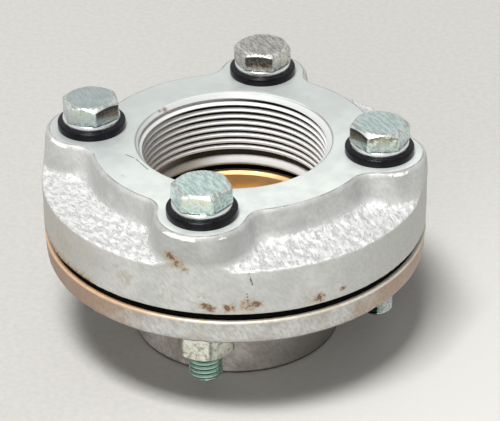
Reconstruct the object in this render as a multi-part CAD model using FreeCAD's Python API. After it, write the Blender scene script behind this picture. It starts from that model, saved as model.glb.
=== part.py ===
import FreeCAD, Part

import math
import os

# A four-bolt dielectric flange union that joins a 2 inch threaded steel pipe to a 2 inch copper tube.
# An iron flange with a pipe thread sits on a rubber gasket and a bronze flange with a solder hub.
# Each bolt is kept off the iron flange by a plastic sleeve whose collar lies under the bolt head.
# Millimetres. The pipe axis is +Z, the solder hub's end face is at height 0, one bolt is on -Y.

# Flanges
FLANGE_DIAMETER = 117.5
EDGE_ROUNDING = 0.5

# Iron flange
IRON_HEIGHT = 25.3
IRON_RIM_HEIGHT = 14.7
SHOULDER_RISE = 1.8
IRON_HUB_DIAMETER = 87.6
CASTING_DRAFT_DEG = 9.0
LUG_INSET = 0.3
LUG_BLEND_RADIUS = 6.0
IRON_TOP_ROUNDING = 1.3
SHOULDER_FILLET = 2.4
RIM_TOP_ROUNDING = 0.8

# Bore of the iron flange, with its 2 inch taper pipe thread of 11.5 turns an inch. The bore is drilled
# straight, so the thread's groove, which follows the taper, is deepest below the mouth's chamfer.
PIPE_THREAD_MINOR_DIAMETER = 56.0
PIPE_THREAD_PITCH = 2.2087
PIPE_THREAD_TAPER_ON_RADIUS = 1 / 32
PIPE_THREAD_FLANK_DEG = 30.0
PIPE_THREAD_DEPTH_IN_PITCHES = 0.8
THREAD_TOOL_HEIGHT_IN_PITCHES = 0.85
PIPE_MOUTH_CHAMFER = 2.0
RELIEF_CLEARANCE = 0.1
RELIEF_WIDTH = 2.7
PILOT_BAND_WIDTH = 3.0
PILOT_CHAMFER = 0.6

# Gasket
GASKET_THICKNESS = 2.5
GASKET_BORE_SETBACK = 1.45
GASKET_EDGE_INSET = 1.3

# Bronze flange with its solder hub, for tube of 2 1/8 inch outside diameter. The tube stops at a ring
# inside the hub, and the waterway above the ring is a little wider than the tube.
BRONZE_FLANGE_THICKNESS = 8.5
BRONZE_RIM_DRAFT_DEG = 2.5
BRONZE_RIM_ROUNDING = 2.5
SOLDER_HUB_LENGTH = 27.7
SOLDER_HUB_WALL = 5.15
SOLDER_HUB_FILLET = 2.0
TUBE_DIAMETER = 53.98
SOLDER_GAP = 0.06
SOLDER_CUP_LEAD_IN = 0.8
TUBE_STOP_WIDTH = 1.65
TUBE_STOP_THICKNESS = 2.0
WATERWAY_DEPTH = 6.2
WATERWAY_STEP = 0.75
WATERWAY_CHAMFER = 0.95

# M10 fasteners. The bolt circle is as small as the solder hub and the nut washers allow.
BOLT_DIAMETER = 10.0
BOLT_END_BEYOND_NUT = 9.3
BOLT_END_CHAMFER = 1.0
BOLT_HOLE_CLEARANCE = 1.0
HEX_ACROSS_FLATS = 16.0
HEX_CORNER_TRIM = 0.2
HEX_FACE_INSET = 0.9
HEX_BEVEL_DEG = 30.0
HEAD_HEIGHT = 5.9
NUT_HEIGHT = 8.4
NUT_THREAD_GAP = 0.05
NUT_COUNTERSINK = 0.6
WASHER_HOLE_CLEARANCE = 0.5
HEAD_WASHER_DIAMETER = 17.6
HEAD_WASHER_THICKNESS = 1.6
NUT_WASHER_DIAMETER = 20.0
NUT_WASHER_THICKNESS = 2.0
NUT_WASHER_TO_HUB_GAP = 0.25

# Insulating sleeve
COLLAR_DIAMETER = 20.8
COLLAR_THICKNESS = 2.4
COLLAR_ROUNDING = 0.4
SLEEVE_WALL = 1.1
SLEEVE_BORE_CLEARANCE = 0.3
SLEEVE_SIDE_CLEARANCE = 0.5
SLEEVE_END_GAP = 0.6

# Where each bolt stands round the pipe, and how far its head and its nut happen to be turned, degrees
BOLTS = {
    "front": {"around": -90.0, "head_turn": 2.0, "nut_turn": -7.5},
    "right": {"around": 0.0, "head_turn": 16.0, "nut_turn": 22.0},
    "back": {"around": 90.0, "head_turn": 3.0, "nut_turn": 11.0},
    "left": {"around": 180.0, "head_turn": -6.0, "nut_turn": 35.0},
}

# Radii and heights worked out from the sizes above
FLANGE_RADIUS = FLANGE_DIAMETER / 2
SOLDER_CUP_RADIUS = TUBE_DIAMETER / 2 + SOLDER_GAP
SOLDER_HUB_RADIUS = SOLDER_CUP_RADIUS + SOLDER_HUB_WALL
NUT_WASHER_INNER_REACH = SOLDER_HUB_RADIUS + SOLDER_HUB_FILLET + NUT_WASHER_TO_HUB_GAP
BOLT_CIRCLE_RADIUS = NUT_WASHER_INNER_REACH + NUT_WASHER_DIAMETER / 2
LUG_RADIUS = FLANGE_RADIUS - BOLT_CIRCLE_RADIUS - LUG_INSET
IRON_HUB_RADIUS = IRON_HUB_DIAMETER / 2
BRONZE_UNDERSIDE = SOLDER_HUB_LENGTH
BRONZE_FACE = BRONZE_UNDERSIDE + BRONZE_FLANGE_THICKNESS
IRON_FACE = BRONZE_FACE + GASKET_THICKNESS
IRON_SHOULDER = IRON_FACE + IRON_RIM_HEIGHT
IRON_TOP = IRON_FACE + IRON_HEIGHT
COLLAR_TOP = IRON_TOP + COLLAR_THICKNESS
HEAD_SEAT = COLLAR_TOP + HEAD_WASHER_THICKNESS
NUT_SEAT = BRONZE_UNDERSIDE - NUT_WASHER_THICKNESS
NUT_BOTTOM = NUT_SEAT - NUT_HEIGHT
BOLT_END = NUT_BOTTOM - BOLT_END_BEYOND_NUT
SLEEVE_BORE_RADIUS = (BOLT_DIAMETER + SLEEVE_BORE_CLEARANCE) / 2
SLEEVE_RADIUS = SLEEVE_BORE_RADIUS + SLEEVE_WALL
IRON_BOLT_HOLE_RADIUS = SLEEVE_RADIUS + SLEEVE_SIDE_CLEARANCE / 2
PLAIN_BOLT_HOLE_RADIUS = (BOLT_DIAMETER + BOLT_HOLE_CLEARANCE) / 2
PIPE_BORE_RADIUS = PIPE_THREAD_MINOR_DIAMETER / 2
RELIEF_BOTTOM = IRON_FACE + PILOT_BAND_WIDTH
RELIEF_TOP = RELIEF_BOTTOM + RELIEF_WIDTH
MOUTH_CHAMFER_FOOT = IRON_TOP - PIPE_MOUTH_CHAMFER
TUBE_STOP_RADIUS = SOLDER_CUP_RADIUS - TUBE_STOP_WIDTH
WATERWAY_RADIUS = SOLDER_CUP_RADIUS + WATERWAY_STEP

UP = FreeCAD.Vector(0, 0, 1)
ORIGIN = FreeCAD.Vector(0, 0, 0)


def point(radius, height):
    """A point of a turned outline, in the plane of X and Z."""
    return FreeCAD.Vector(radius, 0, height)


def on_circle(radius, degrees, centre=ORIGIN, height=0.0):
    """A point at an angle on a level circle."""
    angle = math.radians(degrees)
    return centre + FreeCAD.Vector(radius * math.cos(angle), radius * math.sin(angle), height)


def rounded_outline(corners):
    """A closed wire through (radius, height, rounding) corners, with an arc at each rounded one."""
    edges = []
    ends = []
    for index, (radius, height, rounding) in enumerate(corners):
        corner = point(radius, height)
        if rounding == 0:
            ends.append((corner, corner))
            continue
        before = point(*corners[index - 1][:2]) - corner
        after = point(*corners[(index + 1) % len(corners)][:2]) - corner
        half_angle = before.getAngle(after) / 2
        before.normalize()
        after.normalize()
        bisector = before + after
        bisector.normalize()
        start = corner + before * (rounding / math.tan(half_angle))
        end = corner + after * (rounding / math.tan(half_angle))
        middle = corner + bisector * (rounding / math.sin(half_angle) - rounding)
        edges.append(Part.Arc(start, middle, end).toShape())
        ends.append((start, end))
    for index, (start, end) in enumerate(ends):
        edges.append(Part.makeLine(ends[index - 1][1], start))
    return Part.Wire(Part.__sortEdges__(edges))


def turned(corners):
    """A solid turned about the pipe axis from an outline of (radius, height, rounding) corners."""
    return Part.Face(rounded_outline(corners)).revolve(ORIGIN, UP, 360)


def bolt_holes(radius, bottom, top):
    """One cylinder for each bolt hole, from bottom to top."""
    holes = []
    for place in BOLTS.values():
        centre = on_circle(BOLT_CIRCLE_RADIUS, place["around"], height=bottom)
        holes.append(Part.makeCylinder(radius, top - bottom, centre, UP))
    return holes


def boss_outline(height):
    """The outline of the iron hub and its four lugs at a height, wider lower down by the draft."""
    growth = (IRON_TOP - height) * math.tan(math.radians(CASTING_DRAFT_DEG))
    hub = IRON_HUB_RADIUS + growth
    lug = LUG_RADIUS + growth
    blend = LUG_BLEND_RADIUS - growth
    # Triangle between the pipe axis, a bolt axis and the centre of the blend between hub and lug
    from_axis = hub + blend
    from_bolt = lug + blend
    across = BOLT_CIRCLE_RADIUS
    blend_angle = math.degrees(
        math.acos((from_axis**2 + across**2 - from_bolt**2) / (2 * from_axis * across))
    )
    lug_angle = 180 - math.degrees(
        math.acos((from_bolt**2 + across**2 - from_axis**2) / (2 * from_bolt * across))
    )
    edges = []
    turns = sorted(place["around"] for place in BOLTS.values())
    for index, turn in enumerate(turns):
        bolt_axis = on_circle(across, turn)
        sides = []
        for side in (-1, 1):
            blend_axis = on_circle(from_axis, turn + side * blend_angle)
            on_hub = on_circle(hub, turn + side * blend_angle, height=height)
            on_lug = on_circle(lug, turn + side * lug_angle, bolt_axis, height)
            inward = (bolt_axis - blend_axis).normalize() + (ORIGIN - blend_axis).normalize()
            middle = blend_axis + inward.normalize() * blend + UP * height
            sides.append((on_hub, middle, on_lug))
        (hub_before, middle_before, lug_before), (hub_after, middle_after, lug_after) = sides
        edges.append(Part.Arc(hub_before, middle_before, lug_before).toShape())
        edges.append(Part.Arc(lug_before, on_circle(lug, turn, bolt_axis, height), lug_after).toShape())
        edges.append(Part.Arc(lug_after, middle_after, hub_after).toShape())
        following = turns[(index + 1) % len(turns)] + (360 if index + 1 == len(turns) else 0)
        next_hub = on_circle(hub, following - blend_angle, height=height)
        between = on_circle(hub, (turn + following) / 2, height=height)
        edges.append(Part.Arc(hub_after, between, next_hub).toShape())
    return Part.Wire(edges)


def level_edges(shape, height):
    """The edges that lie wholly at a height."""
    return [
        edge
        for edge in shape.Edges
        if abs(edge.BoundBox.ZMin - height) < 1e-4 and abs(edge.BoundBox.ZMax - height) < 1e-4
    ]


def wall_foot_edges(shape):
    """The edges where the drafted wall of hub and lugs meets the sloping shoulder."""
    return [
        edge
        for edge in shape.Edges
        if edge.BoundBox.ZMin > IRON_FACE + EDGE_ROUNDING
        and edge.BoundBox.ZMax < IRON_TOP - IRON_TOP_ROUNDING - EDGE_ROUNDING
        and edge.Length > EDGE_ROUNDING
        and edge.BoundBox.DiagonalLength < 2 * FLANGE_RADIUS
    ]


def thread_root_radius(height):
    """How far out the pipe thread's groove reaches at a height."""
    at_mouth = PIPE_BORE_RADIUS + PIPE_THREAD_DEPTH_IN_PITCHES * PIPE_THREAD_PITCH
    return at_mouth - (MOUTH_CHAMFER_FOOT - height) * PIPE_THREAD_TAPER_ON_RADIUS


def iron_bore():
    """The space inside the iron flange before it is threaded: mouth, bore, relief groove and pilot band."""
    bore = PIPE_BORE_RADIUS
    relief = thread_root_radius(RELIEF_TOP) + RELIEF_CLEARANCE
    return turned([
        (0, IRON_FACE, 0),
        (bore + PILOT_CHAMFER, IRON_FACE, 0),
        (bore, IRON_FACE + PILOT_CHAMFER, 0),
        (bore, RELIEF_BOTTOM, 0),
        (relief, RELIEF_BOTTOM, 0),
        (relief, RELIEF_TOP, 0),
        (bore, RELIEF_TOP, 0),
        (bore, MOUTH_CHAMFER_FOOT, 0),
        (bore + PIPE_MOUTH_CHAMFER, IRON_TOP, 0),
        (0, IRON_TOP, 0),
    ])


def pipe_thread_groove():
    """The thread's groove: a right-hand V from inside the relief groove up and out through the mouth."""
    start = RELIEF_TOP - PIPE_THREAD_PITCH / 2
    end = IRON_TOP + PIPE_THREAD_PITCH / 2
    root = thread_root_radius(start)
    tool_height = THREAD_TOOL_HEIGHT_IN_PITCHES * PIPE_THREAD_PITCH
    half_width = tool_height * math.tan(math.radians(PIPE_THREAD_FLANK_DEG))
    base = root - tool_height
    profile = Part.makePolygon([
        point(base, start - half_width),
        point(root, start),
        point(base, start + half_width),
        point(base, start - half_width),
    ])
    taper_deg = math.degrees(math.atan(PIPE_THREAD_TAPER_ON_RADIUS))
    helix = Part.makeLongHelix(PIPE_THREAD_PITCH, end - start, root, taper_deg)
    helix.translate(UP * start)
    return Part.Wire(helix.Edges).makePipeShell([profile], True, True)


def make_iron_flange():
    """A cast iron flange: a rim with a sloping shoulder, and a hub with four bolt lugs."""
    slope = SHOULDER_RISE / (FLANGE_RADIUS - IRON_HUB_RADIUS)
    wide = FLANGE_RADIUS + LUG_RADIUS
    disc = turned([
        (0, IRON_FACE, 0),
        (wide, IRON_FACE, 0),
        (wide, IRON_SHOULDER - slope * (wide - FLANGE_RADIUS), 0),
        (IRON_HUB_RADIUS, IRON_SHOULDER + SHOULDER_RISE, 0),
        (0, IRON_SHOULDER + SHOULDER_RISE, 0),
    ])
    boss = Part.makeLoft([boss_outline(IRON_FACE + EDGE_ROUNDING), boss_outline(IRON_TOP)], True, True)
    body = disc.fuse(boss).removeSplitter()
    body = body.makeFillet(SHOULDER_FILLET, wall_foot_edges(body))
    body = body.makeFillet(IRON_TOP_ROUNDING, level_edges(body, IRON_TOP))
    trim = turned([
        (0, IRON_FACE, 0),
        (FLANGE_RADIUS, IRON_FACE, EDGE_ROUNDING),
        (FLANGE_RADIUS, IRON_TOP, 0),
        (0, IRON_TOP, 0),
    ])
    body = body.common(trim)
    body = body.makeFillet(RIM_TOP_ROUNDING, level_edges(body, IRON_SHOULDER))
    holes = bolt_holes(IRON_BOLT_HOLE_RADIUS, IRON_FACE, IRON_TOP)
    return body.cut([iron_bore()] + holes).cut(pipe_thread_groove())


def make_gasket():
    """A flat rubber ring with a hole for each bolt, a little smaller than the flanges."""
    widest_bore = max(PIPE_BORE_RADIUS + PILOT_CHAMFER, WATERWAY_RADIUS + WATERWAY_CHAMFER)
    inner = widest_bore + GASKET_BORE_SETBACK
    outer = FLANGE_RADIUS - GASKET_EDGE_INSET
    ring = turned([
        (inner, BRONZE_FACE, 0),
        (outer, BRONZE_FACE, 0),
        (outer, IRON_FACE, 0),
        (inner, IRON_FACE, 0),
    ])
    return ring.cut(bolt_holes(PLAIN_BOLT_HOLE_RADIUS, BRONZE_FACE, IRON_FACE))


def make_bronze_flange():
    """A bronze flange with a hub that the copper tube is soldered into from below."""
    hub = SOLDER_HUB_RADIUS
    stop_top = BRONZE_FACE - WATERWAY_DEPTH
    stop_bottom = stop_top - TUBE_STOP_THICKNESS
    rim_foot = FLANGE_RADIUS - BRONZE_FLANGE_THICKNESS * math.tan(math.radians(BRONZE_RIM_DRAFT_DEG))
    body = turned([
        (SOLDER_CUP_RADIUS + SOLDER_CUP_LEAD_IN, 0, 0),
        (hub, 0, EDGE_ROUNDING),
        (hub, BRONZE_UNDERSIDE, SOLDER_HUB_FILLET),
        (rim_foot, BRONZE_UNDERSIDE, BRONZE_RIM_ROUNDING),
        (FLANGE_RADIUS, BRONZE_FACE, EDGE_ROUNDING),
        (WATERWAY_RADIUS + WATERWAY_CHAMFER, BRONZE_FACE, 0),
        (WATERWAY_RADIUS, BRONZE_FACE - WATERWAY_CHAMFER, 0),
        (WATERWAY_RADIUS, stop_top, 0),
        (TUBE_STOP_RADIUS, stop_top, 0),
        (TUBE_STOP_RADIUS, stop_bottom, 0),
        (SOLDER_CUP_RADIUS, stop_bottom, 0),
        (SOLDER_CUP_RADIUS, SOLDER_CUP_LEAD_IN, 0),
    ])
    return body.cut(bolt_holes(PLAIN_BOLT_HOLE_RADIUS, BRONZE_UNDERSIDE, BRONZE_FACE))


def hexagon(turn_deg, bottom, top, bevel_bottom):
    """A forged hexagon: its corners are worn round, and its top, or both ends, bevelled to a disc."""
    sharp_corner = HEX_ACROSS_FLATS / 2 / math.cos(math.radians(30))
    rim = Part.makePolygon([on_circle(sharp_corner, turn_deg + 60 * k, height=bottom) for k in range(7)])
    prism = Part.Face(rim).extrude(UP * (top - bottom))
    corner_radius = sharp_corner - HEX_CORNER_TRIM
    bevel_radius = HEX_ACROSS_FLATS / 2 - HEX_FACE_INSET
    bevel_height = (corner_radius - bevel_radius) * math.tan(math.radians(HEX_BEVEL_DEG))
    outline = [(0, bottom, 0)]
    if bevel_bottom:
        outline += [(bevel_radius, bottom, 0), (corner_radius, bottom + bevel_height, 0)]
    else:
        outline += [(corner_radius, bottom, 0)]
    outline += [(corner_radius, top - bevel_height, 0), (bevel_radius, top, 0), (0, top, 0)]
    return prism.common(turned(outline))


def ring(inner, outer, bottom, top):
    """A plain washer about the bolt's own axis."""
    return turned([(inner, bottom, 0), (outer, bottom, 0), (outer, top, 0), (inner, top, 0)])


def make_bolt(head_turn):
    """A hexagon head bolt, head up, with a bevelled end."""
    radius = BOLT_DIAMETER / 2
    shank = turned([
        (0, BOLT_END, 0),
        (radius - BOLT_END_CHAMFER, BOLT_END, 0),
        (radius, BOLT_END + BOLT_END_CHAMFER, 0),
        (radius, HEAD_SEAT, 0),
        (0, HEAD_SEAT, 0),
    ])
    head = hexagon(head_turn, HEAD_SEAT, HEAD_SEAT + HEAD_HEIGHT, False)
    return shank.fuse(head).removeSplitter()


def make_nut(nut_turn):
    """A hexagon nut on the bolt, under the bronze flange."""
    bore = BOLT_DIAMETER / 2 + NUT_THREAD_GAP
    hole = turned([
        (0, NUT_BOTTOM, 0),
        (bore + NUT_COUNTERSINK, NUT_BOTTOM, 0),
        (bore, NUT_BOTTOM + NUT_COUNTERSINK, 0),
        (bore, NUT_SEAT - NUT_COUNTERSINK, 0),
        (bore + NUT_COUNTERSINK, NUT_SEAT, 0),
        (0, NUT_SEAT, 0),
    ])
    return hexagon(nut_turn, NUT_BOTTOM, NUT_SEAT, True).cut(hole)


def make_insulating_sleeve():
    """A plastic tube that lines the iron flange's bolt hole, with a collar on top."""
    return turned([
        (SLEEVE_BORE_RADIUS, IRON_FACE + SLEEVE_END_GAP, 0),
        (SLEEVE_RADIUS, IRON_FACE + SLEEVE_END_GAP, 0),
        (SLEEVE_RADIUS, IRON_TOP, 0),
        (COLLAR_DIAMETER / 2, IRON_TOP, 0),
        (COLLAR_DIAMETER / 2, COLLAR_TOP, COLLAR_ROUNDING),
        (SLEEVE_BORE_RADIUS, COLLAR_TOP, 0),
    ])


def fasteners_at(place):
    """The pieces of one bolt position, made about the pipe axis and moved to the bolt circle."""
    washer_hole = (BOLT_DIAMETER + WASHER_HOLE_CLEARANCE) / 2
    pieces = {
        "bolt": make_bolt(place["head_turn"]),
        "nut": make_nut(place["nut_turn"]),
        "insulating_sleeve": make_insulating_sleeve(),
        "head_washer": ring(washer_hole, HEAD_WASHER_DIAMETER / 2, COLLAR_TOP, HEAD_SEAT),
        "nut_washer": ring(washer_hole, NUT_WASHER_DIAMETER / 2, NUT_SEAT, BRONZE_UNDERSIDE),
    }
    for piece in pieces.values():
        piece.translate(on_circle(BOLT_CIRCLE_RADIUS, place["around"]))
    return pieces


def build():
    """Every piece of the union by its name."""
    parts = {
        "iron_flange": make_iron_flange(),
        "gasket": make_gasket(),
        "bronze_flange": make_bronze_flange(),
    }
    for position, place in BOLTS.items():
        for kind, piece in fasteners_at(place).items():
            parts[kind + "_" + position] = piece
    return parts


os.makedirs("parts", exist_ok=True)
for name, shape in build().items():
    shape.exportStep("parts/" + name + ".step")
    box = shape.BoundBox
    print(name, "solids", len(shape.Solids), "valid", shape.isValid(), "volume", round(shape.Volume, 1),
          "from", [round(v, 2) for v in (box.XMin, box.YMin, box.ZMin)],
          "to", [round(v, 2) for v in (box.XMax, box.YMax, box.ZMax)])
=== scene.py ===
import math
from typing import NamedTuple

import bmesh
import bpy
import numpy as np
from mathutils import Matrix, Vector


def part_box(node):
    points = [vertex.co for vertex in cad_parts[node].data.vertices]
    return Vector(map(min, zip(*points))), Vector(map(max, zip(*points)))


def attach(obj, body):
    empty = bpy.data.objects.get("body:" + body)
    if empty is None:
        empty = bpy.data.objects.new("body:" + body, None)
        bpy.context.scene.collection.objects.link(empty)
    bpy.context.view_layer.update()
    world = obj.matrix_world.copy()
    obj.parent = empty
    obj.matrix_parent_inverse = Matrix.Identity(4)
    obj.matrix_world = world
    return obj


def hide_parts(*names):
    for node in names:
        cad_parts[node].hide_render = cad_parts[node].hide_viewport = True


# The looks of a four-bolt dielectric flange union: an iron flange with a pipe thread, bolted through
# insulating sleeves and a gasket to a bronze flange with a solder hub.
# Shapes are worked out in millimetres in the frame's own axes, and become metres when a mesh is made.

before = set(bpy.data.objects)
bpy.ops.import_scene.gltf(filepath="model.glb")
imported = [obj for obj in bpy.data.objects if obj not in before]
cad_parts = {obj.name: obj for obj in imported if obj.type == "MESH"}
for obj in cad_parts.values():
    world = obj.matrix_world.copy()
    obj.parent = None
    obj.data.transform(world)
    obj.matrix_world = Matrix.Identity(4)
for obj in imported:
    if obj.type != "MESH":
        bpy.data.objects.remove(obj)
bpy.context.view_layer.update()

MM = 0.001
TURN = 2 * math.pi
PLACES = ("front", "right", "back", "left")


def box_mm(node):
    """Lowest and highest corner of a node of the frame, millimetres."""
    low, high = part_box(node)
    return np.array(low) / MM, np.array(high) / MM


def extent(node):
    """Half the width of a node of the frame, and the heights of its lower and upper end, millimetres."""
    low, high = box_mm(node)
    return (high[0] - low[0]) / 2, low[2], high[2]


# Heights and radii read from the frame
FLANGE_RADIUS = box_mm("iron_flange")[1][0]
IRON_FACE, IRON_TOP = extent("iron_flange")[1:]
BRONZE_FACE = extent("bronze_flange")[2]
HEAD_WASHER_RADIUS, COLLAR_TOP, HEAD_SEAT = extent("head_washer_front")
NUT_WASHER_RADIUS, NUT_SEAT, BRONZE_UNDERSIDE = extent("nut_washer_front")
NUT_BOTTOM = extent("nut_front")[1]
BOLT_END, HEAD_TOP = extent("bolt_front")[1:]
COLLAR_RADIUS, SLEEVE_BOTTOM = extent("insulating_sleeve_front")[:2]
BOLT_AXES = {place: sum(box_mm("insulating_sleeve_" + place))[:2] / 2 for place in PLACES}
BOLT_CIRCLE_RADIUS = float(np.hypot(*BOLT_AXES["front"]))

# Sizes of the iron flange
HUB_RADIUS = 43.8
LUG_RADIUS = 14.0
BLEND_RADIUS = 6.0
DRAFT = math.radians(9.0)
RIM_EDGE_HEIGHT = IRON_TOP - 10.6
SHOULDER_RISE = 1.8
TOP_ROUNDING = 1.3
SHOULDER_FILLET = 2.4
RIM_ROUNDING = 0.8
LUG_FRONT_ROUNDING = 0.15
EDGE_ROUNDING = 0.5
IRON_HOLE_RADIUS = 6.5

# Bore of the iron flange
MOUTH_RADIUS = 30.0
CREST_RADIUS = 28.0
PILOT_CHAMFER_RADIUS = 28.6
RELIEF_BOTTOM = IRON_FACE + 3.0
RELIEF_TOP = IRON_FACE + 5.7
PIPE_PITCH = 2.2087
PIPE_THREAD_DEPTH = 0.8 * PIPE_PITCH
PIPE_TAPER = 1 / 32
MOUTH_CHAMFER_FOOT = IRON_TOP - 2.0
RELIEF_RADIUS = CREST_RADIUS + PIPE_THREAD_DEPTH - (MOUTH_CHAMFER_FOOT - RELIEF_TOP) * PIPE_TAPER + 0.1

# Sizes of the bronze flange
SOLDER_HUB_RADIUS = 32.2
SOLDER_CUP_RADIUS = 27.05
TUBE_STOP_RADIUS = 25.4
TUBE_STOP_TOP = BRONZE_FACE - 6.2
TUBE_STOP_BOTTOM = BRONZE_FACE - 8.2
WATERWAY_RADIUS = 27.8
WATERWAY_CHAMFER = 0.95
BRONZE_EDGE_ROUNDING = 0.6
BRONZE_RIM_FOOT = FLANGE_RADIUS - 0.37
PLAIN_HOLE_RADIUS = 5.5
GASKET_BORE_RADIUS = 30.2

# M10 fasteners
BOLT_RADIUS = 5.0
BOLT_PITCH = 1.5
BOLT_THREAD_DEPTH = 0.92
BOLT_THREAD_TOP = BOLT_END + 26.0
BOLT_END_CHAMFER = 1.0
THREAD_GAP = 0.05
HEX_APOTHEM = 8.0
HEX_CORNER_RADIUS = 9.04
HEX_FACE_RADIUS = 7.1
HEX_BEVEL = math.tan(math.radians(30.0))
WASHER_HOLE_RADIUS = 5.25
SLEEVE_BORE_RADIUS = 5.15
SLEEVE_RADIUS = 6.25
HEAD_TURNS_DEG = {"front": 2.0, "right": 16.0, "back": 3.0, "left": -6.0}
NUT_TURNS_DEG = {"front": -7.5, "right": 22.0, "back": 11.0, "left": 35.0}

# How many points there are round the pieces
IRON_COLUMNS = 720
BRONZE_COLUMNS = 480
FASTENER_COLUMNS = 144
ROUND_COLUMNS = 96


# Noise

def lattice_value(cell, seed):
    """A fixed random number from -1 to 1 for each whole-numbered cell."""
    mixed = np.full(len(cell), seed * 2654435761, np.uint64)
    for part, prime in zip(cell.astype(np.uint64).T, (73856093, 19349663, 83492791)):
        mixed ^= part * np.uint64(prime)
    for shift, factor in ((15, 2246822519), (13, 3266489917), (16, 1)):
        mixed ^= mixed >> np.uint64(shift)
        mixed *= np.uint64(factor)
    return (mixed % np.uint64(65536)).astype(float) / 32767.5 - 1


def gradient_noise(points, seed):
    """Smooth noise of about -1 to 1 at points, whose features are about one unit apart."""
    cell = np.floor(points).astype(np.int64)
    part = points - cell
    ease = part * part * part * (part * (part * 6 - 15) + 10)
    total = np.zeros(len(points))
    for corner in np.ndindex(2, 2, 2):
        corner = np.array(corner)
        weight = np.prod(np.where(corner, ease, 1 - ease), axis=1)
        offset = part - corner
        slope = sum(lattice_value(cell + corner, seed + 31 * axis) * offset[:, axis] for axis in range(3))
        total += weight * slope
    return total * 1.5


def layered_noise(points, size, octaves, seed):
    """Noise with features of a size in millimetres, and finer ones of half the strength on top."""
    total = np.zeros(len(points))
    strength = 1.0
    for octave in range(octaves):
        total += strength * gradient_noise(points * (2**octave / size), seed + 101 * octave)
        strength /= 2
    return total


def smooth_step(low, high, value):
    """0 below low, 1 above high, and a soft ramp between."""
    part = np.clip((value - low) / (high - low), 0, 1)
    return part * part * (3 - 2 * part)


# Meshes

# Where a thread's rows run, in half widths of its groove from the groove's middle
GROOVE_ROWS = (-1.05, -0.93, -0.5, -0.05, 0.05, 0.5, 0.93, 1.05)
FLANK_SLOPE = math.tan(math.radians(30))
# Faces that meet at more than this angle show a crease, on castings and on fasteners
CAST_CREASE_DEG = 32.0
HEX_CREASE_DEG = 40.0
# Points that are nearer to each other than this, in millimetres, become one
WELD_DISTANCE = 0.004


class Thread(NamedTuple):
    """A right-hand V groove that climbs one pitch a turn. Its side is 1 in a bore and -1 round a shank."""

    start: float
    pitch: float
    crest_radius: float
    depth: float
    side: int
    deepest_height: float = 0.0
    taper: float = 0.0

    def depth_at(self, height):
        return self.depth - (self.deepest_height - height) * self.taper

    def radius(self, height, angle):
        """Radius of the threaded surface."""
        turns = (height - self.start) / self.pitch - angle / TURN
        off_middle = np.abs((turns + 0.5) % 1 - 0.5) * self.pitch
        cut = np.maximum(self.depth_at(height) - off_middle / FLANK_SLOPE, 0)
        return self.crest_radius + self.side * cut


class Skin:
    """Rings of points about an upright axis, joined into faces. Millimetres."""

    def __init__(self, axis=(0.0, 0.0)):
        self.axis = axis
        self.points = []
        self.faces = []

    def ring(self, radius, height, columns, turn=0.0):
        """Adds a ring, with a radius and a height for the whole ring or for each column."""
        angle = np.arange(columns) * TURN / columns + turn
        x = self.axis[0] + radius * np.cos(angle)
        y = self.axis[1] + radius * np.sin(angle)
        z = np.broadcast_to(height, columns)
        start = len(self.points)
        self.points.extend(zip(x.tolist(), y.tolist(), z.tolist()))
        return list(range(start, start + columns))

    def rings(self, rows, columns, turn=0.0):
        """Adds a ring for each (radius, height)."""
        return [self.ring(radius, height, columns, turn) for radius, height in rows]

    def strip(self, one, other):
        """Quads between two rows of as many points."""
        for k in range(len(one) - 1):
            self.faces.append((one[k], one[k + 1], other[k + 1], other[k]))

    def join(self, one, other):
        """Quads between two rings of as many points."""
        self.strip(one + one[:1], other + other[:1])

    def join_finer(self, coarse, fine):
        """Faces between a ring and one of twice as many points."""
        for k, corner in enumerate(coarse):
            after = coarse[(k + 1) % len(coarse)]
            end = fine[(2 * k + 2) % len(fine)]
            self.faces.append((corner, after, end, fine[2 * k + 1], fine[2 * k]))

    def stack(self, rings):
        """Quads between each ring and the next."""
        for one, other in zip(rings, rings[1:]):
            self.join(one, other)

    def cap(self, ring, height):
        """A fan of triangles from a ring to a point on the axis."""
        middle = len(self.points)
        self.points.append((self.axis[0], self.axis[1], height))
        for k, corner in enumerate(ring):
            self.faces.append((corner, ring[(k + 1) % len(ring)], middle))

    def helix(self, columns, thread, low, high, radius_at):
        """A threaded surface from low to high, whose rows climb round with the thread's groove."""
        rows = []
        first_turn = math.floor((low - thread.start) / thread.pitch) - 1
        last_turn = math.ceil((high - thread.start) / thread.pitch) + 1
        angle = np.arange(columns) * TURN / columns
        for turn in range(first_turn, last_turn):
            centre = thread.start + (turn + angle / TURN) * thread.pitch
            half_width = thread.depth_at(centre) * FLANK_SLOPE
            for share in GROOVE_ROWS:
                height = np.clip(centre + share * half_width, low, high)
                rows.append(self.ring(radius_at(height, angle), height, columns))
        # After a turn each row meets the start of the same row one pitch above
        starts_above = [row[:1] for row in rows[len(GROOVE_ROWS):]] + [rows[-1][:1]] * len(GROOVE_ROWS)
        closed = [row + start for row, start in zip(rows, starts_above)]
        for one, other in zip(closed, closed[1:]):
            self.strip(one, other)
        return rows

    def mesh(self, name, crease_deg=CAST_CREASE_DEG):
        """A closed Blender object in metres, smooth but for its creases."""
        shape = bmesh.new()
        corners = [shape.verts.new((x * MM, y * MM, z * MM)) for x, y, z in self.points]
        for face in self.faces:
            if len(set(face)) == len(face):
                shape.faces.new([corners[index] for index in face])
        bmesh.ops.remove_doubles(shape, verts=shape.verts, dist=WELD_DISTANCE * MM)
        bmesh.ops.recalc_face_normals(shape, faces=shape.faces)
        piece = shape_object(name, shape)
        mark_creases(piece, crease_deg)
        return piece


def add_object(name, data):
    """A new object in the scene."""
    thing = bpy.data.objects.new(name, data)
    bpy.context.scene.collection.objects.link(thing)
    return thing


def shape_object(name, shape):
    """A new object in the scene from a bmesh."""
    mesh = bpy.data.meshes.new(name)
    shape.to_mesh(mesh)
    shape.free()
    return add_object(name, mesh)


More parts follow.
